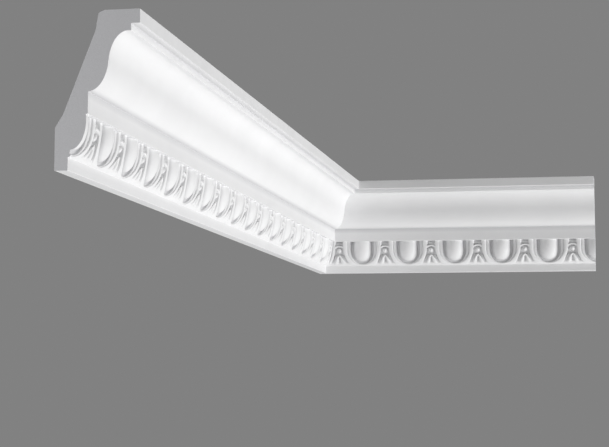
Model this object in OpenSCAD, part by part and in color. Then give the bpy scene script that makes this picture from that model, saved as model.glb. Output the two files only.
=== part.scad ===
// Cornice moulding for the inside corner of a room: two lengths of one section,
// mitred into each other. Each length is cast whole, with its egg-and-dart band.
//
// X runs out from the left wall along the back wall, -Y runs out from the back wall
// along the left wall, and Z is up. The origin is the wall corner at the underside.

/* [Lengths] */
// Length on the left wall, from the wall corner to its square end
long_len = 1070; // [700:5:1400]
// Length on the back wall, from the wall corner to its square end
short_len = 372; // [250:1:700]

/* [Section] */
// Height from the underside to the ceiling
height = 119; // [99:1:150]
// Projection along the ceiling
projection = 64; // [53:1:80]
// Width of the strip glued to the ceiling
ceiling_strip = 27; // [15:1:30]
// Height of the strip glued to the wall
wall_strip = 32; // [24:1:38]
// Thickness left behind the band, measured out from the wall at the band's top
band_backing = 6; // [4:0.5:9]
// Height of the top fascia
top_fascia_h = 10.6; // [6:0.1:14]
// How far the small fillet under it steps back
fillet_step = 6.75; // [3:0.05:8.5]
// Height of the small fillet
fillet_h = 5.4; // [3:0.1:8]
// Width of the small fillet's underside, where the S-curve starts
fillet_return = 2.2; // [1:0.1:3]
// Flattening of the S-curve: 1 is two round arcs, less is steeper in the middle
curve_flattening = 0.6; // [0.5:0.01:0.9]
// Share of the S-curve that is hollow, above the part that swells
curve_hollow_share = 0.49; // [0.35:0.01:0.6]
// How far the plain fascia in the middle stands out from the wall
mid_fascia_out = 25; // [24:0.1:28]
// Height of the plain fascia in the middle
mid_fascia_h = 16.8; // [10:0.1:20]
// Height of the egg-and-dart band
band_h = 32; // [31:0.1:36]
// How far the bottom fillet stands out from the wall
bottom_fillet_out = 10.2; // [9:0.1:12]
// Height of the bottom fillet
bottom_fillet_h = 9.7; // [6:0.1:14]

/* [Egg and dart] */
// Distance from one egg's middle to the next
pitch = 62.5; // [56:0.5:75]
// From the wall corner to the middle of the first egg, on the long length
first_egg_long = 67.5; // [45:0.1:75]
// From the wall corner to the middle of the first egg, on the short length
first_egg_short = 61.2; // [45:0.1:75]
// Width of an egg
egg_w = 24.4; // [20:0.2:26]
// Height of the round end of an egg
egg_round_h = 17.7; // [14:0.1:20]
// How far an egg stands out past the husk's rim
egg_proud = 2; // [1:0.1:2.8]
// Gap under an egg, down to the bottom fillet
egg_lift = 5.6; // [4:0.1:8]
// Width of the groove round an egg
groove_w = 3.8; // [2:0.1:5]
// Width of the husk's sloping lining, next to the groove
lining_w = 3.9; // [2:0.1:5]
// How far the lining lies behind the husk's rim
lining_drop = 1.6; // [0.8:0.1:3]
// Width of the husk's rim at the top
rim_w = 6; // [4:0.1:8]
// Thickness of the husk's rim under the egg
rim_foot = 1.4; // [0.8:0.1:2]
// Depth of the carving at the top of the band
carving_depth = 6.7; // [4:0.1:8]
// How far the husk's rim lies behind the plain fascia, at the top
rim_setback = 2.8; // [1:0.1:4]
// Height of the bridge between two husks
bridge_h = 2.2; // [1.5:0.1:4]
// Height of the rounded top of the hollow under the bridge
arch_rise = 5.4; // [3:0.1:7]
// Depth of the pocket above the bridge
pocket_h = 5.2; // [3:0.1:7]
// Diameter of the bead
bead_d = 6.2; // [4:0.1:7]
// Height of the dart's leaf
leaf_h = 13.6; // [10:0.1:16]
// Width of the dart's leaf at its foot
leaf_foot_w = 21; // [14:0.5:24]
// Width of the slot in the leaf at its foot
leaf_slot_w = 4.4; // [2:0.2:6]

/* [Hidden] */
$fn = 96;
sink = 2;              // how deep the carved pieces run into the body behind them
spare = 1;             // how far a cutting shape reaches past what it cuts
ease = 5;              // size of the eased corner between the back and the ceiling strip
lip = 0.4;             // how far the husks' rims stand out past the bottom fillet, at its top
bed_step = 0.2;        // how far the bed lies behind the bottom fillet, at its top
lap = 0.5;             // how far the lining runs in under the rim
tip_w = 1.6;           // width of the leaf's blunt tip
slot_tip_w = 1;        // width of the rounded end of the leaf's slot
slot_below_tip = 2.7;  // from the leaf's tip down to its slot

// Levels up the section
band_z0 = bottom_fillet_h;
band_z1 = band_z0 + band_h;
curve_z0 = band_z1 + mid_fascia_h;
fillet_z1 = height - top_fascia_h;
fillet_z0 = fillet_z1 - fillet_h;

// The S-curve is two arcs that meet on the line between their centres
fillet_out = projection - fillet_step;
curve_top = [fillet_out - fillet_return, fillet_z0];
curve_foot = [mid_fascia_out, curve_z0];
curve_w = (curve_top.x - curve_foot.x) / curve_flattening;
curve_h = curve_top.y - curve_foot.y;
radii_sum = (curve_w * curve_w + curve_h * curve_h) / (2 * curve_h);
hollow_r = radii_sum * curve_hollow_share;
swell_r = radii_sum - hollow_r;
hollow_c = [curve_top.x, curve_top.y - hollow_r];
swell_c = [curve_foot.x, curve_foot.y + swell_r];
curve_mid = hollow_c + (swell_c - hollow_c) * curve_hollow_share;

// The band is a quarter round. The husks' rims lie on its face, and its bed is behind.
rim_out = mid_fascia_out - rim_setback;
bed_out = rim_out - carving_depth;
face_foot = bottom_fillet_out + lip;
bed_foot = bottom_fillet_out - bed_step;
face_c = 8;            // how far out the middle of the face's round lies
bed_c = 5;             // how far out the middle of the bed's round lies

// Half heights of the two quarter rounds, so that each ends at its own foot
function round_h(out, centre, foot) =
    band_h / sqrt(1 - pow((foot - centre) / (out - centre), 2));
face_h = round_h(rim_out, face_c, face_foot);
bed_h = round_h(bed_out, bed_c, bed_foot);
function round_x(out, centre, half_h, z) =
    centre + (out - centre) * sqrt(1 - pow((band_z1 - z) / half_h, 2));

// Outlines round an egg, measured from its middle
egg_r = egg_w / 2;
egg_z0 = band_z0 + egg_lift;
egg_round_z = egg_z0 + egg_round_h;
groove_r = egg_r + groove_w;
lining_r = groove_r + lining_w;
rim_r = lining_r + rim_w;
lining_z0 = band_z0 + rim_foot;
groove_z0 = lining_z0 + lip * 2;
rim_z0 = band_z0 - 14; // the rim's outer edge closes in below the band, so it meets the fillet wide
lining_round_z = egg_round_z - 3;
groove_round_z = egg_round_z - 2;
rim_round_z = band_z1 - 6;
bridge_z1 = band_z1 - pocket_h;
bridge_z0 = bridge_z1 - bridge_h;
dart_gap = pitch - 2 * rim_r;
bead_z = bridge_z0 - arch_rise;
leaf_z1 = band_z0 + leaf_h;
leaf_knee = [leaf_foot_w * 0.24, leaf_h * 0.47]; // where the leaf's edge turns outward
leaf_slot_h = leaf_h - slot_below_tip;
bead_sink = bead_d * 0.3;                        // how far the bead's middle lies off the bed

// Half an ellipse, the round end down, with straight sides above it
module u_shape(half_w, round_z, foot_z, top_z) {
    intersection() {
        translate([0, round_z])
            scale([half_w, round_z - foot_z])
                circle(r = 1);
        translate([-2 * half_w, foot_z - spare])
            square([4 * half_w, round_z - foot_z + spare]);
    }
    translate([-half_w, round_z])
        square([2 * half_w, top_z - round_z]);
}

// The part of a quarter round that bulges past the straight line from foot to top
module round_face(out, centre, half_h, foot_z) {
    foot_x = round_x(out, centre, half_h, foot_z);
    intersection() {
        translate([centre, band_z1])
            scale([out - centre, half_h])
                circle(r = 1);
        polygon([
            [foot_x, foot_z],
            [out + carving_depth, foot_z],
            [out + carving_depth, band_z1],
            [out, band_z1]
        ]);
    }
}

// The S-curve's hollow, cut out of the straight section
module curve_hollow() {
    intersection() {
        translate(hollow_c)
            scale([curve_flattening * hollow_r, hollow_r])
                circle(r = 1);
        polygon([
            curve_top,
            curve_mid,
            curve_mid - [ease, 0],
            [curve_mid.x - ease, curve_top.y + spare],
            [curve_top.x, curve_top.y + spare]
        ]);
    }
}

// The S-curve's swelling, added to the straight section
module curve_swell() {
    intersection() {
        translate(swell_c)
            scale([curve_flattening * swell_r, swell_r])
                circle(r = 1);
        polygon([
            curve_foot,
            curve_mid,
            curve_mid + [ease, 0],
            [curve_mid.x + ease, curve_foot.y - spare],
            [curve_foot.x, curve_foot.y - spare]
        ]);
    }
}

// The section without its carving: x is out from the wall, y is up
module section() {
    difference() {
        union() {
            polygon([
                [0, 0],
                [bottom_fillet_out, 0],
                [bottom_fillet_out, band_z0],
                [bed_foot, band_z0],
                [bed_out, band_z1],
                [mid_fascia_out, band_z1],
                curve_foot,
                curve_mid,
                curve_top,
                [fillet_out, fillet_z0],
                [fillet_out, fillet_z1],
                [projection, fillet_z1],
                [projection, height],
                [projection - ceiling_strip, height],
                [projection - ceiling_strip - ease, height - 0.4 * ease],
                [projection - ceiling_strip - 1.4 * ease, height - 3 * ease],
                [band_backing, band_z1],
                [0, wall_strip]
            ]);
            round_face(bed_out, bed_c, bed_h, band_z0);
            curve_swell();
        }
        curve_hollow();
    }
}

// Stock that the husks, bridges and leaves are cut from, drop behind the band's face
module band_stock(drop) {
    foot_x = round_x(rim_out - drop, face_c, face_h, band_z0);
    top_x = rim_out - drop;
    round_face(top_x, face_c, face_h, band_z0);
    polygon([
        [bed_foot - sink, band_z0],
        [foot_x, band_z0],
        [top_x, band_z1],
        [top_x, band_z1 + spare],
        [bed_out - sink, band_z1 + spare],
        [bed_out - sink, band_z1]
    ]);
}

// Outline of one husk's rim round its egg
module husk_rim() {
    difference() {
        u_shape(rim_r, rim_round_z, rim_z0, band_z1 + spare);
        u_shape(lining_r, lining_round_z, lining_z0, band_z1 + 2 * spare);
    }
}

// Outline of the lining between the rim and the groove
module husk_lining() {
    difference() {
        u_shape(lining_r + lap, lining_round_z, lining_z0 - lip, band_z1 + spare);
        u_shape(groove_r, groove_round_z, groove_z0, band_z1 + 2 * spare);
    }
}

// Outline of the bridge between two husks and the leaf under it, on the dart's middle
module dart() {
    difference() {
        translate([-dart_gap / 2 - spare, bead_z])
            square([dart_gap + 2 * spare, bridge_z1 - bead_z]);
        translate([0, bead_z])
            scale([dart_gap / 2, arch_rise])
                circle(r = 1);
        translate([-dart_gap / 2, bead_z - spare])
            square([dart_gap, spare]);
    }
    difference() {
        polygon([
            [-leaf_foot_w / 2, band_z0],
            [-leaf_knee.x, band_z0 + leaf_knee.y],
            [-tip_w / 2, leaf_z1],
            [tip_w / 2, leaf_z1],
            [leaf_knee.x, band_z0 + leaf_knee.y],
            [leaf_foot_w / 2, band_z0]
        ]);
        polygon([
            [-leaf_slot_w / 2, band_z0 - spare],
            [-slot_tip_w / 2, band_z0 + leaf_slot_h],
            [slot_tip_w / 2, band_z0 + leaf_slot_h],
            [leaf_slot_w / 2, band_z0 - spare]
        ]);
    }
}

// The front half of an egg, round about an upright axis and cut off flat by the fascia
module egg() {
    translate([rim_out + egg_proud - egg_r, 0, 0])
        rotate_extrude(angle = 180, start = -90)
            intersection() {
                u_shape(egg_r, egg_round_z, egg_z0, band_z1);
                translate([0, egg_z0 - spare])
                    square([egg_w, band_h + 2 * spare]);
            }
}

// The bead that hangs under a bridge
module bead() {
    bead_x = round_x(bed_out, bed_c, bed_h, bead_z) + bead_sink;
    translate([bead_x, 0, bead_z])
        sphere(d = bead_d);
}

// Places the outline children all through the band, repeated from start at each pitch
module along_band(start, count, stock_drop) {
    intersection() {
        rotate([90, 0, 0])
            translate([0, 0, start - 2 * pitch])
                linear_extrude(height = (count + 3) * pitch)
                    band_stock(stock_drop);
        rotate([90, 0, 90])
            linear_extrude(height = projection)
                for (i = [0 : count])
                    translate([-start - i * pitch, 0])
                        children();
    }
}

// One length: x out from its wall, -y along it, mitred at the corner end
module moulding(len, first_egg) {
    // One husk before the first egg, which the mitre cuts through
    start = first_egg - pitch;
    count = ceil((len - start) / pitch);
    intersection() {
        union() {
            rotate([90, 0, 0])
                translate([0, 0, -spare])
                    linear_extrude(height = len + 2 * spare)
                        section();
            along_band(start, count, 0)
                husk_rim();
            along_band(start, count, lining_drop)
                husk_lining();
            along_band(start + pitch / 2, count, 0)
                dart();
            for (i = [1 : count])
                translate([0, -start - i * pitch, 0])
                    egg();
            for (i = [0 : count])
                translate([0, -start - (i + 0.5) * pitch, 0])
                    bead();
        }
        translate([0, 0, -spare])
            linear_extrude(height = height + 2 * spare)
                polygon([
                    [-spare, spare],
                    [projection + spare, -projection - spare],
                    [projection + spare, -len],
                    [-spare, -len]
                ]);
    }
}

module long_length() {
    color([0.93, 0.93, 0.92])
        moulding(long_len, first_egg_long);
}

module short_length() {
    color([0.88, 0.88, 0.87])
        mirror([1, 1, 0])
            moulding(short_len, first_egg_short);
}

long_length();
short_length();
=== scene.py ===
import math

import bmesh
import bpy
import numpy as np
from mathutils import Matrix, Vector


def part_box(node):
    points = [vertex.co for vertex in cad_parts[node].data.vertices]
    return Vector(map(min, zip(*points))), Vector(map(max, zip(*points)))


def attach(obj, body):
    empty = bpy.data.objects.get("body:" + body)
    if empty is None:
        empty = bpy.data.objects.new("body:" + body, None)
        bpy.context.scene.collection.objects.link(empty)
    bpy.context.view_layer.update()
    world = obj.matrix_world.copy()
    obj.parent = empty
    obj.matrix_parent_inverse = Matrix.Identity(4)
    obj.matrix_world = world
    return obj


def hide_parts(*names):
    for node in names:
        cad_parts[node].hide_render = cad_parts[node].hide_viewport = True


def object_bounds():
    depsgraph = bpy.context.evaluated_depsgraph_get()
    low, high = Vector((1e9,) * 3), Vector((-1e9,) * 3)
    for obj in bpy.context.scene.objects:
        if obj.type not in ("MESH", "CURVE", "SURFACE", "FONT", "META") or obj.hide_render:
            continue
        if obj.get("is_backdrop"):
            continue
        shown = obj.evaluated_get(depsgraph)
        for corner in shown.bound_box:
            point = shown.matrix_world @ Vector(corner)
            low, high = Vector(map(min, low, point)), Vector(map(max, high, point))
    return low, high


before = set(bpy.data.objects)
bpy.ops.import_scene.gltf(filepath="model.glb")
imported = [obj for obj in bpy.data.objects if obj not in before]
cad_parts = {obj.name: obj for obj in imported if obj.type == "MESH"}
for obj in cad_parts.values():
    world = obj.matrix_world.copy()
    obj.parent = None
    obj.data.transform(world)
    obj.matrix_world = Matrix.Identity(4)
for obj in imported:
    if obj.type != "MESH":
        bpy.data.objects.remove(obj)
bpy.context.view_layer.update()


# ---------------------------------------------------------------------------------------
# The egg in its husk. It is cast in one with the length, in rigid foam, and comes round
# every 62.5 mm. It is worked out here in millimetres: s runs along the moulding from the
# egg's middle, z is up, and x is how far the surface stands out from the wall.

mm = 0.001
pitch = 62.5
half_pitch = pitch / 2
band_foot = 9.7
band_top = 41.7
fillet_out = 10.2
fascia_out = 25.0

rim_back = 8.0                  # the husks' rims bulge out from here
rim_bulge = 14.2
rim_half_h = 32.55
least_depth = 0.5
carving_depth = 5.8
foot_share = 0.4                # share of that depth at the carving's foot
full_depth_rise = 14.0          # how far above the foot the depth is full
lining_inner_drop = 2.3
lining_outer_drop = 1.3
rim_edge_drop = 0.35

egg_half_w = 12.4
egg_foot = 15.2
egg_fullness = 2.4              # 2 is an ellipse, more is squarer
egg_back = 12.0
egg_bulge = 12.1
egg_widest_z = 37.0
egg_dome = 0.62                 # 0.5 is round across, more is more pointed
lining_fullness = 2.2
round_z = 30.0                  # below this height the outlines round an egg close in

husk_half_w = 25.7
husk_round_z = 36.0             # below this height a husk's outer edge closes in
husk_half_h = 33.6
husk_corner_angle = math.radians(57)

bridge_top = 36.5
bridge_side_top = 35.1          # the bridge's top on the husk's edge, lower than in its middle
arch_foot = 24.6                # from here down the rows run straight across the dart


def rim_face(z):
    """How far out the husks' rims lie: a quarter round from the fascia to the bottom fillet."""
    return rim_back + rim_bulge * np.sqrt(1 - ((band_top - z) / rim_half_h) ** 2)


def carving_share(z):
    """The carving is deepest under the fascia and runs out towards its foot."""
    return np.clip(foot_share + (1 - foot_share) * (z - band_foot) / full_depth_rise, 0, 1)


def bed_face(z):
    """The bottom of the carving."""
    return rim_face(z) - least_depth - carving_depth * carving_share(z)


def smooth_step(t):
    """Eases from 0 to 1 as t goes from 0 to 1."""
    t = np.clip(t, 0, 1)
    return t * t * (3 - 2 * t)


def steps(start, stop, count):
    """Even steps from start to stop, with stop in and start left out."""
    return [start + (stop - start) * (i + 1) / count for i in range(count)]


# Rows down the band: height on the husk's outer edge, height on the dart's middle, and
# how much of the bridge between two husks stands there, from 0 (bed) to 1 (its face)
rows = [(band_top, band_top, 0.0), (39.4, 40.0, 0.0), (37.2, 38.3, 0.0), (35.7, 37.1, 0.0)]
rows += [(35.3, 36.75, 0.3), (bridge_side_top, bridge_top, 0.8), (34.8, 36.2, 1.0)]
rows += [(33.0, 35.5, 1.0), (30.9, 34.75, 1.0)]
rows += [(30.5, 34.5, 0.8), (30.1, 34.3, 0.3), (29.7, 34.1, 0.0)]
for z in (33.4, 32.9, 32.7, 32.3, 31.5, 30.4, 29.2, 28.0, 27.0, 26.4, 26.1, 25.7, arch_foot):
    rows.append((arch_foot + 5.1 * (z - arch_foot) / 9.5, z, 0.0))
rows += [(z, z, 0.0) for z in (24.0, 23.7, 23.4, 22.9, 22.2, 21.4, 20.9)]
rows += [(z, z, 0.0) for z in steps(20.9, 11.6, 9)]
rows += [(z, z, 0.0) for z in (11.0, 10.5, 10.15, 9.85, band_foot)]
edge_z = np.array([row[0] for row in rows])
middle_z = np.array([row[1] for row in rows])
bridge_share = np.array([row[2] for row in rows])


def husk_edge(z):
    """Half width of a husk's outer edge at a height."""
    below = np.clip(husk_round_z - z, 0, None)
    return husk_half_w * np.sqrt(1 - (below / husk_half_h) ** 2)


# Rays across the husk: each row goes on into it, and more rays fan out under the egg
turning = int(np.sum(edge_z < round_z - 0.2))
under_count = 12
angles = [0.0] * (len(rows) - turning) + steps(0, husk_corner_angle, turning)
angles = np.array(angles + steps(husk_corner_angle, math.pi / 2, under_count))
ray_z = np.where(angles > 0, round_z, np.append(edge_z, [round_z] * under_count))


def outline(half_w, foot_z, fullness=2.0):
    """An outline round the egg, with straight sides and a round foot: s and z on each ray."""
    s = half_w * np.clip(np.cos(angles), 0, 1) ** (2 / fullness)
    z = ray_z - (round_z - foot_z) * np.sin(angles) ** (2 / fullness)
    return np.stack([s, z], axis=1)


def egg_surface(s, z):
    """An egg, round about an upright axis, with its widest part up under the fascia."""
    below = np.clip(round_z - z, 0, None) / (round_z - egg_foot)
    half_w = egg_half_w * np.clip(1 - below ** egg_fullness, 0, 1) ** (1 / egg_fullness)
    below_widest = (egg_widest_z - z) / (egg_widest_z - egg_foot)
    peak = egg_back + egg_bulge * np.sqrt(np.clip(1 - below_widest ** 2, 0, 1))
    across = np.clip(1 - (s / np.maximum(half_w, 1e-6)) ** 2, 0, 1)
    bed = bed_face(z)
    return bed + (peak - bed) * across ** egg_dome


def lining_inner(z):
    """The sloping lining's inner edge, next to the groove."""
    return rim_face(z) - lining_inner_drop * carving_share(z)


def lining_outer(z):
    """The sloping lining's outer edge, next to the V-shaped line."""
    return rim_face(z) - lining_outer_drop * carving_share(z)


husk_lines = []                 # lines along the outlines: x, s and z of their points


def husk_line(points, x):
    """Adds a line along an outline, x out from the wall."""
    husk_lines.append(np.column_stack([x, points]))


# The egg, from its middle out to the groove round it
for share in (0, 0.13, 0.26, 0.39, 0.52, 0.65, 0.77, 0.87, 0.94, 0.98, 1.0):
    points = outline(egg_half_w * share, round_z - (round_z - egg_foot) * share, egg_fullness)
    husk_line(points, egg_surface(*points.T))

egg_line = outline(egg_half_w, egg_foot, egg_fullness)
lining_line = outline(16.0, 11.7, lining_fullness)
vee_line = outline(19.8, 11.0)
crest_line = outline(21.0, 10.6)
corner_s = float(husk_edge(np.array(band_foot)))
edge_line = np.stack(
    [
        np.append(husk_edge(edge_z), steps(corner_s, 0, under_count)),
        np.append(edge_z, [band_foot] * under_count),
    ],
    axis=1,
)

# The groove, the sloping lining, the V-shaped line outside it, and the rim
for share, rise in ((0.2, 0.05), (0.45, 0.0), (0.7, 0.12), (0.88, 0.6), (1.0, 0.97)):
    points = egg_line + (lining_line - egg_line) * share
    low = bed_face(points[:, 1])
    husk_line(points, low + (lining_inner(points[:, 1]) - low) * rise)
for share, drop in ((0.12, 0.0), (0.5, -0.15), (0.8, 0.15), (0.93, 0.6), (1.0, 1.0)):
    points = lining_line + (vee_line - lining_line) * share
    z = points[:, 1]
    face = lining_inner(z) + (lining_outer(z) - lining_inner(z)) * share
    husk_line(points, face - drop * carving_share(z))
for share, drop in ((0.25, 1.3), (0.7, 0.4), (1.0, 0.12)):
    points = vee_line + (crest_line - vee_line) * share
    z = points[:, 1]
    husk_line(points, rim_face(z) - drop * carving_share(z))
for share, drop in ((0.3, 0.0), (0.65, 0.03), (0.87, 0.14), (0.96, 0.24), (1.0, rim_edge_drop)):
    points = crest_line + (edge_line - crest_line) * share
    husk_line(points, rim_face(points[:, 1]) - drop)


# ---------------------------------------------------------------------------------------
# The dart between two husks: a slotted leaf, a bead over its tip, a bridge that arches
# over the bead, and a pocket above the bridge. It is cast with the husks on both sides.
# Its columns follow the outline of what stands there, out from the dart's middle.

bead_z = 29.5
bead_half_w = 3.5
bead_half_h = 3.8
bead_dome = 0.4                 # 0.5 is round, less is fuller
bead_proud = 0.6                # how far it stands out past the husk's edge
leaf_tip = 23.7
leaf_half_w = 10.0
leaf_taper = 0.65
leaf_proud = 0.1
slot_tip = 21.2
bed_above_leaf = 0.2            # how far the bed comes up towards the rims there
pocket_depth_at_bridge = 1.2
pocket_depth_at_fascia = 4.8
wall_w = 0.55                   # the steep side of a husk's edge
pocket_wall_w = 1.5             # how much wider it is beside the pocket
foot_fill = 0.92                # how far the bed comes up towards the rims at the dart's foot

room = half_pitch - husk_edge(edge_z)
wall = wall_w + pocket_wall_w * smooth_step((edge_z - bridge_top - 0.1) / 0.4)


def row_height(t):
    """How high the rows are, t away from the dart's middle: they arch over the bead."""
    return edge_z + (middle_z - edge_z) * np.sqrt(np.clip(1 - (t / room) ** 2, 0, 1))


# The rows arch, so the bead's width on each row is found by going round until it settles
bead_outline = np.zeros(len(rows))
for _ in range(40):
    off_middle = (row_height(bead_outline) - bead_z) / bead_half_h
    bead_outline = bead_half_w * np.sqrt(np.clip(1 - off_middle ** 2, 0, 1))
up_leaf = np.clip((middle_z - band_foot) / (leaf_tip - band_foot), 0, 1)
leaf_outline = leaf_half_w * (1 - up_leaf) ** leaf_taper
figure = np.clip(np.maximum(bead_outline, leaf_outline), 0.35, room - wall - 0.6)
down_slot = np.clip((slot_tip - middle_z) / (slot_tip - band_foot), 0, 1)
slot = (1.0 + 2.0 * down_slot ** 1.5) * np.minimum(down_slot * 12, 1) ** 0.5
slot = np.maximum(slot, 0.2 * figure)
up_pocket = np.clip((middle_z - bridge_top) / (band_top - bridge_top), 0, 1)
pocket_depth = pocket_depth_at_bridge + (pocket_depth_at_fascia - pocket_depth_at_bridge) * up_pocket
leaf_there = smooth_step((leaf_tip + 0.25 - middle_z) / 0.5)
pocket_there = smooth_step((middle_z - bridge_top - 0.1) / 0.3)
slot_there = smooth_step((slot_tip + 0.2 - middle_z) / 0.9)
foot_there = smooth_step((17.0 - middle_z) / 5.5)
dart_lines = []


def dart_line(t, rim_share, leaf_share, slot_share):
    """One column, t away from the dart's middle, with the share of each raised part on it."""
    z = row_height(t)
    bed = bed_face(z)
    rise = rim_face(z) - rim_edge_drop - bed
    leaf = leaf_share + (slot_share - leaf_share) * slot_there
    bead = np.clip(1 - (t / bead_half_w) ** 2 - ((z - bead_z) / bead_half_h) ** 2, 0, 1)
    raised = np.maximum.reduce([
        np.maximum(rim_share, bridge_share) * rise,
        leaf * leaf_there * (rise + leaf_proud),
        bed_above_leaf * (1 - leaf_there) * rise,
        (rise - pocket_depth) * pocket_there,
        foot_fill * foot_there * rise,
        (rise + bead_proud) * bead ** bead_dome,
    ])
    dart_lines.append(np.column_stack([bed + raised, half_pitch - t, z]))


# Down the husk's side, across the gap, up the leaf or the bead, and down into the slot
for inset, share in ((0, 1.0), (0.22, 0.88), (0.5, 0.5), (0.8, 0.12), (1.0, 0.0)):
    dart_line(room - wall * inset, share, 0.0, 0.0)
gap_out = room - wall
gap_in = figure + 0.3
for share in (0.25, 0.5, 0.75, 1.0):
    dart_line(gap_out + (gap_in - gap_out) * share, 0.0, 0.3, 0.3)
dart_line(figure, 0.0, 0.5, 0.5)
for inset, share, slot_share in ((0.1, 0.74, 0.74), (0.28, 0.93, 0.93), (0.5, 1.0, 1.0),
                                 (0.75, 1.0, 0.95), (0.92, 1.0, 0.8)):
    dart_line(figure + (slot - figure) * inset, 0.0, share, slot_share)
for inset, slot_share in ((0, 0.55), (0.25, 0.15), (0.6, 0.03), (1.0, 0.0)):
    dart_line(slot * (1 - inset), 0.0, 1.0, slot_share)


# ---------------------------------------------------------------------------------------
# The carved repeat: the egg in its husk with half a dart on each side, as one skin. Each
# point keeps how deep it lies, which sets how much painted shade its hollow gets.

foot_rounding = 1.2
# depths below the rims at which the painted shade in the hollows is full
husk_full_shade_depth = 4.2
dart_full_shade_depth = 8.0


def over_the_fillet(lines):
    """Rounds the carving's foot in over the bottom fillet."""
    for line in lines:
        lift = np.clip((line[:, 2] - band_foot) / foot_rounding, 0, 1)
        line[:, 0] = fillet_out + (line[:, 0] - fillet_out) * np.sqrt(1 - (1 - lift) ** 2)


def add_sheet(mesh, lines, side, deepest):
    """Adds a sheet of four-sided faces between neighbouring lines, on one side of the egg."""
    painted_shade_layer = mesh.verts.layers.float["hollow"]
    lines_of_verts = []
    for line in lines:
        # how deep each point lies below the rims, kept as its share of painted shade
        depths = np.clip((rim_face(line[:, 2]) - line[:, 0]) / deepest, 0, 1)
        verts = [mesh.verts.new((x * mm, side * s * mm, z * mm)) for x, s, z in line]
        for vert, depth in zip(verts, depths):
            vert[painted_shade_layer] = depth
        lines_of_verts.append(verts)
    for near, far in zip(lines_of_verts, lines_of_verts[1:]):
        for i in range(len(near) - 1):
            mesh.faces.new((near[i], near[i + 1], far[i + 1], far[i]))


carving = bmesh.new()
carving.verts.layers.float.new("hollow")
over_the_fillet(husk_lines)
over_the_fillet(dart_lines)
for side in (1, -1):
    add_sheet(carving, husk_lines, side, husk_full_shade_depth)
    add_sheet(carving, dart_lines, side, dart_full_shade_depth)
bmesh.ops.remove_doubles(carving, verts=carving.verts, dist=0.01 * mm)


# ---------------------------------------------------------------------------------------
# The section: fillet, carved band, fascia, S-curve, small fillet and top fascia in front,
# and the glued strips and the hollow behind. The moulding is cast in one, in rigid foam,
# so every arris is slightly round and every inner corner slightly filled.

low_corner, high_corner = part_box("long_length")
height = high_corner.z / mm
projection = high_corner.x / mm
fascia_h = 16.8
top_fascia_h = 10.6
small_fillet_in = 6.75          # how far it lies behind the top fascia
small_fillet_h = 5.4
small_soffit_w = 2.2            # its underside, where the S-curve starts
ceiling_strip_w = 27.0
wall_strip_h = 32.0
back_at_band = 6.0              # how far the sloping back stands off the wall behind the band
curve_flattening = 0.6
curve_steps = 14
arc_step = math.radians(8)
curve_corner_reach = 7.0
fascia_corner_reach = 3.0

fascia_top = band_top + fascia_h
small_fillet_out = projection - small_fillet_in
small_fillet_top = height - top_fascia_h
small_fillet_foot = small_fillet_top - small_fillet_h


def curve_points():
    """The S-curve: a swelling and a hollow, two flattened arcs that run into each other."""
    foot = np.array([fascia_out, fascia_top])
    top = np.array([small_fillet_out - small_soffit_w, small_fillet_foot])
    wide = (top[0] - foot[0]) / curve_flattening
    tall = top[1] - foot[1]
    both_radii = (wide ** 2 + tall ** 2) / (2 * tall)
    hollow_radius = both_radii * 0.49
    swell_radius = both_radii - hollow_radius
    turn = math.atan2(wide, both_radii - tall)
    points = []
    for i in range(1, curve_steps + 1):
        a = turn * i / curve_steps
        points.append((foot[0] + curve_flattening * swell_radius * math.sin(a),
                       foot[1] + swell_radius * (1 - math.cos(a))))
    for i in range(1, curve_steps):
        a = turn * (1 - i / curve_steps)
        points.append((top[0] - curve_flattening * hollow_radius * math.sin(a),
                       top[1] - hollow_radius * (1 - math.cos(a))))
    return points + [tuple(top)]


def softened(corners):
    """An outline from (x, z, radius) corners. The first and last only give the direction."""
    points = []
    for before, corner, after in zip(corners, corners[1:], corners[2:]):
        radius = corner[2]
        here = Vector(corner[:2])
        if radius == 0:
            points.append(here)
            continue
        back = (Vector(before[:2]) - here).normalized()
        ahead = (Vector(after[:2]) - here).normalized()
        half_angle = back.angle(ahead) / 2
        reach = radius / math.tan(half_angle)
        centre = here + (back + ahead).normalized() * radius / math.sin(half_angle)
        start = here + back * reach - centre
        sweep = start.angle_signed(here + ahead * reach - centre)
        arc_steps = 3 if radius < 1 else math.ceil(abs(sweep) / arc_step)
        for i in range(arc_steps + 1):
            points.append(centre + Matrix.Rotation(-sweep * i / arc_steps, 2) @ start)
    return points


section = softened(
    [
        (fascia_out - 1, band_top, 0),
        (fascia_out, band_top, 0.25),
        (fascia_out, fascia_top - curve_corner_reach, 0),
        (fascia_out, fascia_top, 0.4),
    ]
    + [(x, z, 0) for x, z in curve_points()]
    + [
        (small_fillet_out, small_fillet_foot, 0.4),
        (small_fillet_out, small_fillet_top, 0.4),
        (projection, small_fillet_top, 0.25),
        (projection, height, 0.3),
        (projection - ceiling_strip_w, height, 0.8),
        (projection - ceiling_strip_w - 5, height - 2, 2.5),
        (projection - ceiling_strip_w - 7, height - 15, 8),
        (back_at_band, band_top, 4),
        (0, wall_strip_h, 1.5),
        (0, 0, 0.3),
        (fillet_out, 0, 0.5),
        (fillet_out, band_foot, 0),
    ]
)


# The inner corners under the S-curve and the top fascia get painted shade as well.
def in_a_corner(x, z):
    """How far a point lies into the corner under the S-curve or the top fascia, 0 to 1."""
    under_curve = 1 - math.dist((x, z), (fascia_out, fascia_top)) / curve_corner_reach
    off_fascia_corner = math.dist((x, z), (small_fillet_out, small_fillet_top))
    return max(0, under_curve, 1 - off_fascia_corner / fascia_corner_reach)


def body_middle(z):
    """A line up through the body of the section, with the back on its low side."""
    return 4.0 + 32.0 * (z - 10.0) / (height - 10.0) if z > 1.0 else 0.5


def row_at(z):
    """The carving's open edge at a height, in order along the moulding."""
    found = [v for v in carving.verts if v.is_boundary and abs(v.co.z - z * mm) < 0.02 * mm]
    return sorted(found, key=lambda v: v.co.y)


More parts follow.
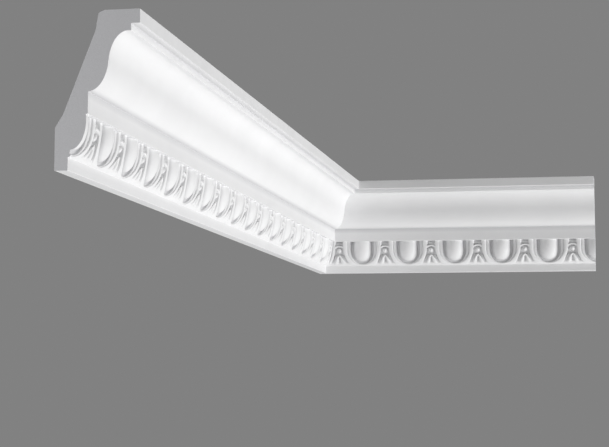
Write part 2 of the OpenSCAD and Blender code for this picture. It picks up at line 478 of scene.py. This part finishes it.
top_row = row_at(band_top)
foot_row = row_at(band_foot)
painted_shade_layer = carving.verts.layers.float["hollow"]
outline_ends = []               # the section's points at both ends of the repeat
for x, z in section:
    pair = [carving.verts.new((x * mm, side * half_pitch * mm, z * mm)) for side in (-1, 1)]
    # each end point's share of painted shade in the inner corners
    for vert in pair:
        vert[painted_shade_layer] = in_a_corner(x, z)
    outline_ends.append(pair)
unprimed = carving.faces.layers.int.new("unprimed")
for i, (near, far) in enumerate(zip(outline_ends, outline_ends[1:])):
    face = carving.faces.new((near[0], near[1], far[1], far[0]))
    face_x, face_z = (section[i] + section[i + 1]) / 2
    on_top = face_z > height - 0.05
    face[unprimed] = int(on_top or face_x < body_middle(face_z))
carving.faces.new([*top_row, outline_ends[0][1], outline_ends[0][0]])
carving.faces.new([*foot_row, outline_ends[-1][1], outline_ends[-1][0]])
bmesh.ops.recalc_face_normals(carving, faces=carving.faces)
repeat_mesh = bpy.data.meshes.new("egg_and_dart_repeat")
carving.to_mesh(repeat_mesh)
carving.free()
repeat = bpy.data.objects.new("egg_and_dart_repeat", repeat_mesh)
bpy.context.scene.collection.objects.link(repeat)


# ---------------------------------------------------------------------------------------
# The finish: a smooth matt white primer, sprayed on over the moulded skin. Its colour is
# painted greyer down in the hollows and in the inner corners, as painted shade. Under it the
# foam has a fine stipple, and it is slightly uneven where it shrank in the mould.

def new_group(name, sockets_in, sockets_out):
    """An empty shader group with named sockets, and its input and output nodes."""
    group = bpy.data.node_groups.new(name, "ShaderNodeTree")
    for label, kind, value in sockets_in:
        socket = group.interface.new_socket(label, in_out="INPUT", socket_type=kind)
        if value is not None:
            socket.default_value = value
    for label, kind in sockets_out:
        group.interface.new_socket(label, in_out="OUTPUT", socket_type=kind)
    return group, group.nodes.new("NodeGroupInput"), group.nodes.new("NodeGroupOutput")


def node(tree, kind, inputs=None, **settings):
    """A node with its settings, and its inputs set to a value or joined to an output."""
    made = tree.nodes.new(kind)
    for label, value in settings.items():
        setattr(made, label, value)
    for label, value in (inputs or {}).items():
        if isinstance(value, bpy.types.NodeSocket):
            tree.links.new(value, made.inputs[label])
        else:
            made.inputs[label].default_value = value
    return made


unevenness, entry, leave = new_group(
    "unevenness",
    [("Position", "NodeSocketVector", None), ("Size", "NodeSocketFloat", 0.01),
     ("Low", "NodeSocketFloat", 0.0), ("High", "NodeSocketFloat", 1.0)],
    [("Value", "NodeSocketFloat")],
)
per_metre = node(unevenness, "ShaderNodeMath",
                 {0: 1.0, 1: entry.outputs["Size"]}, operation="DIVIDE")
clouds = node(unevenness, "ShaderNodeTexNoise",
              {"Vector": entry.outputs["Position"], "Scale": per_metre.outputs[0],
               "Detail": 3.0, "Roughness": 0.55})
spread = node(unevenness, "ShaderNodeMapRange",
              {"Value": clouds.outputs["Fac"], "From Min": 0.3, "From Max": 0.7,
               "To Min": entry.outputs["Low"], "To Max": entry.outputs["High"]})
unevenness.links.new(spread.outputs["Result"], leave.inputs["Value"])


def new_material(name):
    """A material with its shader, ready for its own nodes, and its place on the piece."""
    material = bpy.data.materials.new(name)
    material.use_nodes = True
    tree = material.node_tree
    shader = tree.nodes["Principled BSDF"]
    place = tree.nodes.new("ShaderNodeTexCoord").outputs["Object"]
    return material, tree, shader, place


def uneven(tree, place, size, low, high):
    """Places the unevenness group with its own values, and gives its output."""
    made = tree.nodes.new("ShaderNodeGroup")
    made.node_tree = unevenness
    tree.links.new(place, made.inputs["Position"])
    made.inputs["Size"].default_value = size
    made.inputs["Low"].default_value = low
    made.inputs["High"].default_value = high
    return made.outputs["Value"]


primer_white = (0.79, 0.79, 0.795, 1)
thick_primer_white = (0.82, 0.82, 0.825, 1)
# the grey the primer is painted towards deep in the hollows and inner corners: painted shade
painted_shade_grey = (0.6, 0.6, 0.61, 1)

primer, tree, shader, place = new_material("white_primer")
tone = node(tree, "ShaderNodeMix",
            {"Factor": uneven(tree, place, 0.06, 0.0, 1.0),
             "A": primer_white, "B": thick_primer_white}, data_type="RGBA")
# the hollow attribute darkens the primer towards grey: painted shade in hollows and corners
depth = node(tree, "ShaderNodeAttribute", attribute_name="hollow")
painted_shade_ramp = node(tree, "ShaderNodeMapRange",
                 {"Value": depth.outputs["Fac"], "From Min": 0.15, "From Max": 1.0,
                  "To Min": 0.0, "To Max": 1.0})
primer_with_painted_shade = node(tree, "ShaderNodeMix",
            {"Factor": painted_shade_ramp.outputs["Result"], "A": tone.outputs["Result"],
             "B": painted_shade_grey}, data_type="RGBA")
tree.links.new(primer_with_painted_shade.outputs["Result"], shader.inputs["Base Color"])
tree.links.new(uneven(tree, place, 0.012, 0.5, 0.62), shader.inputs["Roughness"])
shader.inputs["Specular IOR Level"].default_value = 0.4
stipple = node(tree, "ShaderNodeBump",
               {"Height": uneven(tree, place, 0.0006, 0.0, 1.0),
                "Strength": 0.12, "Distance": 0.00006})
waves = node(tree, "ShaderNodeBump",
             {"Height": uneven(tree, place, 0.025, 0.0, 1.0), "Normal": stipple.outputs["Normal"],
              "Strength": 0.08, "Distance": 0.0003})
tree.links.new(waves.outputs["Normal"], shader.inputs["Normal"])


# ---------------------------------------------------------------------------------------
# The bare surfaces: the back keeps the dull skin that the mould leaves, scuffed where the
# glue goes on. A sawn end shows the grey foam itself, with its fine cells and saw lines.

skin_dark = (0.66, 0.66, 0.65, 1)
skin_light = (0.76, 0.76, 0.75, 1)
foam_dark = (0.65, 0.65, 0.67, 1)
foam_light = (0.73, 0.73, 0.75, 1)
cells_per_metre = 2200.0
saw_slant = math.radians(24)

back_skin, tree, shader, place = new_material("moulded_back")
tone = node(tree, "ShaderNodeMix",
            {"Factor": uneven(tree, place, 0.018, 0.0, 1.0),
             "A": skin_dark, "B": skin_light}, data_type="RGBA")
tree.links.new(tone.outputs["Result"], shader.inputs["Base Color"])
tree.links.new(uneven(tree, place, 0.004, 0.7, 0.9), shader.inputs["Roughness"])
scuffs = node(tree, "ShaderNodeBump",
              {"Height": uneven(tree, place, 0.0015, 0.0, 1.0),
               "Strength": 0.4, "Distance": 0.0002})
tree.links.new(scuffs.outputs["Normal"], shader.inputs["Normal"])

cut_foam, tree, shader, place = new_material("sawn_foam")
cells = node(tree, "ShaderNodeTexVoronoi",
             {"Vector": place, "Scale": cells_per_metre, "Randomness": 1.0})
cell_tone = node(tree, "ShaderNodeMapRange",
                 {"Value": cells.outputs["Distance"], "From Min": 0.0, "From Max": 0.7,
                  "To Min": 0.0, "To Max": 1.0})
tone = node(tree, "ShaderNodeMix",
            {"Factor": cell_tone.outputs["Result"],
             "A": foam_dark, "B": foam_light}, data_type="RGBA")
tree.links.new(tone.outputs["Result"], shader.inputs["Base Color"])
tree.links.new(uneven(tree, place, 0.005, 0.85, 0.95), shader.inputs["Roughness"])
slant = node(tree, "ShaderNodeMapping", {"Vector": place, "Rotation": (0.0, saw_slant, 0.0)})
saw_lines = node(tree, "ShaderNodeTexWave",
                 {"Vector": slant.outputs["Vector"], "Scale": 260.0, "Distortion": 1.2,
                  "Detail": 2.0}, bands_direction="Z")
saw_bump = node(tree, "ShaderNodeBump",
                {"Height": saw_lines.outputs["Fac"], "Strength": 0.25, "Distance": 0.0001})
cell_bump = node(tree, "ShaderNodeBump",
                 {"Height": cells.outputs["Distance"], "Normal": saw_bump.outputs["Normal"],
                  "Strength": 0.5, "Distance": 0.00015})
tree.links.new(cell_bump.outputs["Normal"], shader.inputs["Normal"])


# ---------------------------------------------------------------------------------------
# The run: the repeat set end to end along a straight line, as the mould gives it, and
# joined into one skin. Each length is then sawn off square at one end and mitred at the
# other, where it meets its neighbour in the corner of the room.

run = bpy.data.node_groups.new("moulding_run", "GeometryNodeTree")
run.interface.new_socket("Geometry", in_out="INPUT", socket_type="NodeSocketGeometry")
run_inputs = {
    label: run.interface.new_socket(label, in_out="INPUT", socket_type=kind).identifier
    for label, kind in (
        ("Repeat", "NodeSocketObject"), ("First middle", "NodeSocketVector"),
        ("Step", "NodeSocketVector"), ("Count", "NodeSocketInt"),
        ("Finish", "NodeSocketMaterial"), ("Back", "NodeSocketMaterial"),
    )
}
run.interface.new_socket("Geometry", in_out="OUTPUT", socket_type="NodeSocketGeometry")
entry = run.nodes.new("NodeGroupInput")
middles = node(run, "GeometryNodeMeshLine",
               {"Count": entry.outputs["Count"], "Start Location": entry.outputs["First middle"],
                "Offset": entry.outputs["Step"]})
shape = node(run, "GeometryNodeObjectInfo", {"Object": entry.outputs["Repeat"]})
placed = node(run, "GeometryNodeInstanceOnPoints",
              {"Points": middles.outputs["Mesh"], "Instance": shape.outputs["Geometry"]})
real = node(run, "GeometryNodeRealizeInstances", {"Geometry": placed.outputs["Instances"]})
joined = node(run, "GeometryNodeMergeByDistance",
              {"Geometry": real.outputs["Geometry"], "Distance": 0.01 * mm})
coated = node(run, "GeometryNodeSetMaterial",
              {"Geometry": joined.outputs["Geometry"], "Material": entry.outputs["Finish"]})
bare = node(run, "GeometryNodeInputNamedAttribute", {"Name": "unprimed"}, data_type="INT")
backed = node(run, "GeometryNodeSetMaterial",
              {"Geometry": coated.outputs["Geometry"], "Selection": bare.outputs["Attribute"],
               "Material": entry.outputs["Back"]})
leave = run.nodes.new("NodeGroupOutput")
run.links.new(backed.outputs["Geometry"], leave.inputs["Geometry"])


def cast_run(name, first_egg, length, direction):
    """A run along Y as a plain mesh, from before the corner to past the square end."""
    host = bpy.data.objects.new(name, bpy.data.meshes.new(name))
    bpy.context.scene.collection.objects.link(host)
    modifier = host.modifiers.new("run", "NODES")
    modifier.node_group = run
    first_middle = first_egg - pitch * mm
    modifier[run_inputs["Repeat"]] = repeat
    modifier[run_inputs["First middle"]] = (0.0, direction * first_middle, 0.0)
    modifier[run_inputs["Step"]] = (0.0, direction * pitch * mm, 0.0)
    modifier[run_inputs["Count"]] = math.ceil((length - first_middle) / (pitch * mm) + 0.5)
    modifier[run_inputs["Finish"]] = primer
    modifier[run_inputs["Back"]] = back_skin
    depsgraph = bpy.context.evaluated_depsgraph_get()
    plain = bpy.data.meshes.new_from_object(host.evaluated_get(depsgraph), depsgraph=depsgraph)
    plain.materials.pop(index=0)        # the repeat's own empty slot
    host.modifiers.clear()
    plain.name = name
    host.data = plain
    return host


def saw_off(mesh, point, normal, bare_slot):
    """Cuts away what lies past a plane, and closes the cut with a flat face of bare foam."""
    everything = [*mesh.verts, *mesh.edges, *mesh.faces]
    cut = bmesh.ops.bisect_plane(mesh, geom=everything, dist=1e-7, plane_co=point,
                                 plane_no=normal, clear_outer=True)["geom_cut"]
    rim = [e for e in cut if isinstance(e, bmesh.types.BMEdge) and e.is_boundary]
    for face in bmesh.ops.holes_fill(mesh, edges=rim, sides=0)["faces"]:
        face.material_index = bare_slot


def is_carved(face):
    """Whether a face belongs to the carved band."""
    centre = face.calc_center_median()
    return band_foot * mm < centre.z < band_top * mm and centre.x > rim_back * mm


crisp_angle = math.radians(10)  # an edge that turns more than this stays sharp


def finish_length(piece, length, direction):
    """Squares one end of a run and mitres the other, and keeps its arrises crisp."""
    piece.data.materials.append(cut_foam)
    bare_slot = len(piece.data.materials) - 1
    mesh = bmesh.new()
    mesh.from_mesh(piece.data)
    saw_off(mesh, (0, 0, 0), (1, -direction, 0), bare_slot)
    saw_off(mesh, (0, direction * length, 0), (0, direction, 0), bare_slot)
    bmesh.ops.recalc_face_normals(mesh, faces=mesh.faces)
    for face in mesh.faces:
        face.smooth = True
    for edge in mesh.edges:
        many_sided = any(len(face.verts) > 8 for face in edge.link_faces)
        carved = all(is_carved(face) for face in edge.link_faces)
        edge.smooth = not many_sided and (carved or edge.calc_face_angle(0) < crisp_angle)
    mesh.to_mesh(piece.data)
    mesh.free()


# ---------------------------------------------------------------------------------------
# The long length, on the left wall: sawn square at its near end, through the middle of
# an egg, and mitred in the corner. Rigid foam, primed white in front, glued to the wall
# and the ceiling along the two strips of its back.

long_run = -low_corner.y
first_egg_on_long = 67.5 * mm
long_moulding = cast_run("long_moulding", first_egg_on_long, long_run, -1)
finish_length(long_moulding, long_run, -1)
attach(long_moulding, "root")
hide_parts("long_length")


# ---------------------------------------------------------------------------------------
# The short length, on the back wall: the same moulding, mitred at its other end. It is
# cast along Y like the long one and then turned to run along X, and its eggs start so
# that the pattern meets the long length's in the corner.

short_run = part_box("short_length")[1].x
first_egg_on_short = 61.2 * mm
short_moulding = cast_run("short_moulding", first_egg_on_short, short_run, 1)
finish_length(short_moulding, short_run, 1)
short_moulding.data.transform(Matrix.Rotation(math.radians(-90), 4, "Z"))
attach(short_moulding, "root")
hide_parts("short_length")
bpy.data.objects.remove(repeat)


# ---------------------------------------------------------------------------------------
# The studio: a plain pale floor far below the moulding and a plain grey surround. Soft
# light comes from above, from the right, from below and from behind, and the camera is
# low down and looks up along the long length.

floor_z = -5.0                  # low enough to look up at the moulding from above the floor
floor_radius = 60.0
floor_mesh = bpy.data.meshes.new("floor")
disc = bmesh.new()
bmesh.ops.create_circle(disc, cap_ends=True, segments=96, radius=floor_radius,
                        matrix=Matrix.Translation((0, 0, floor_z)))
disc.to_mesh(floor_mesh)
disc.free()
floor = bpy.data.objects.new("floor", floor_mesh)
bpy.context.scene.collection.objects.link(floor)
floor_paint, tree, shader, place = new_material("pale_floor")
shader.inputs["Base Color"].default_value = (0.8, 0.8, 0.8, 1)
shader.inputs["Roughness"].default_value = 0.9
floor_mesh.materials.append(floor_paint)
floor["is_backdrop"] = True

world = bpy.data.worlds.new("studio")
world.use_nodes = True
sky = world.node_tree
seen = node(sky, "ShaderNodeLightPath")
fill_light = 0.03
surround_grey = 0.22            # how bright the surround looks, which lights nothing
brightness = node(sky, "ShaderNodeMapRange",
                  {"Value": seen.outputs["Is Camera Ray"],
                   "To Min": fill_light, "To Max": surround_grey})
sky.nodes["Background"].inputs["Color"].default_value = (1.0, 1.0, 1.0, 1)
sky.links.new(brightness.outputs["Result"], sky.nodes["Background"].inputs["Strength"])
bpy.context.scene.world = world


def lamp(name, kind, at, towards, power, **settings):
    """A light that faces a point. The softboxes themselves show in no view."""
    light = bpy.data.lights.new(name, kind)
    light.energy = power
    for label, value in settings.items():
        setattr(light, label, value)
    stand = bpy.data.objects.new(name, light)
    stand.location = at
    stand.rotation_mode = "QUATERNION"
    stand.rotation_quaternion = (Vector(towards) - Vector(at)).to_track_quat("-Z", "Y")
    stand.visible_camera = False
    bpy.context.scene.collection.objects.link(stand)


middle = Vector((0.12, -0.45, 0.06))
lamp("overhead_light", "SUN", middle + Vector((-0.5, 0.6, 1.2)), middle, 1.74, angle=math.radians(20))
lamp("right_softbox", "AREA", middle + Vector((2.27, 0.23, -0.28)), middle, 21.2,
     shape="SQUARE", size=0.9)
lamp("low_right_softbox", "AREA", middle + Vector((2.02, -0.4, -1.01)), middle, 25.8,
     shape="SQUARE", size=0.9)
lamp("low_softbox", "AREA", middle + Vector((0.12, -0.37, -1.24)), middle, 3.9,
     shape="SQUARE", size=0.7)
lamp("end_light", "AREA", (-0.35, -2.0, -0.1), (0.02, -1.07, 0.06), 4.0, shape="SQUARE", size=0.5)
lamp("back_light", "AREA", middle + Vector((-2.0, 1.9, 0.2)), middle, 30.0, shape="SQUARE", size=1.2)

camera_place = Vector((0.41145, -2.21155, -0.16108))
camera_data = bpy.data.cameras.new("camera")
camera_data.sensor_width = 36.0
camera_data.lens = 97.28
camera_data.clip_start = 0.05
camera_data.clip_end = 100.0
camera = bpy.data.objects.new("camera", camera_data)
yaw = math.radians(11.092)
pitch_up = math.radians(5.849)
roll = math.radians(0.2218)
right = Vector((math.cos(yaw), math.sin(yaw), 0))
level = Vector((-math.sin(yaw), math.cos(yaw), 0))
ahead = level * math.cos(pitch_up) + Vector((0, 0, math.sin(pitch_up)))
upright = Vector((0, 0, math.cos(pitch_up))) - level * math.sin(pitch_up)
side_axis = right * math.cos(roll) + upright * math.sin(roll)
up_axis = upright * math.cos(roll) - right * math.sin(roll)
turn = Matrix((side_axis, up_axis, -ahead)).transposed()
camera.matrix_world = Matrix.LocRotScale(camera_place, turn, None)
bpy.context.scene.collection.objects.link(camera)
bpy.context.scene.camera = camera
bpy.context.scene.view_settings.view_transform = "Standard"

low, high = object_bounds()
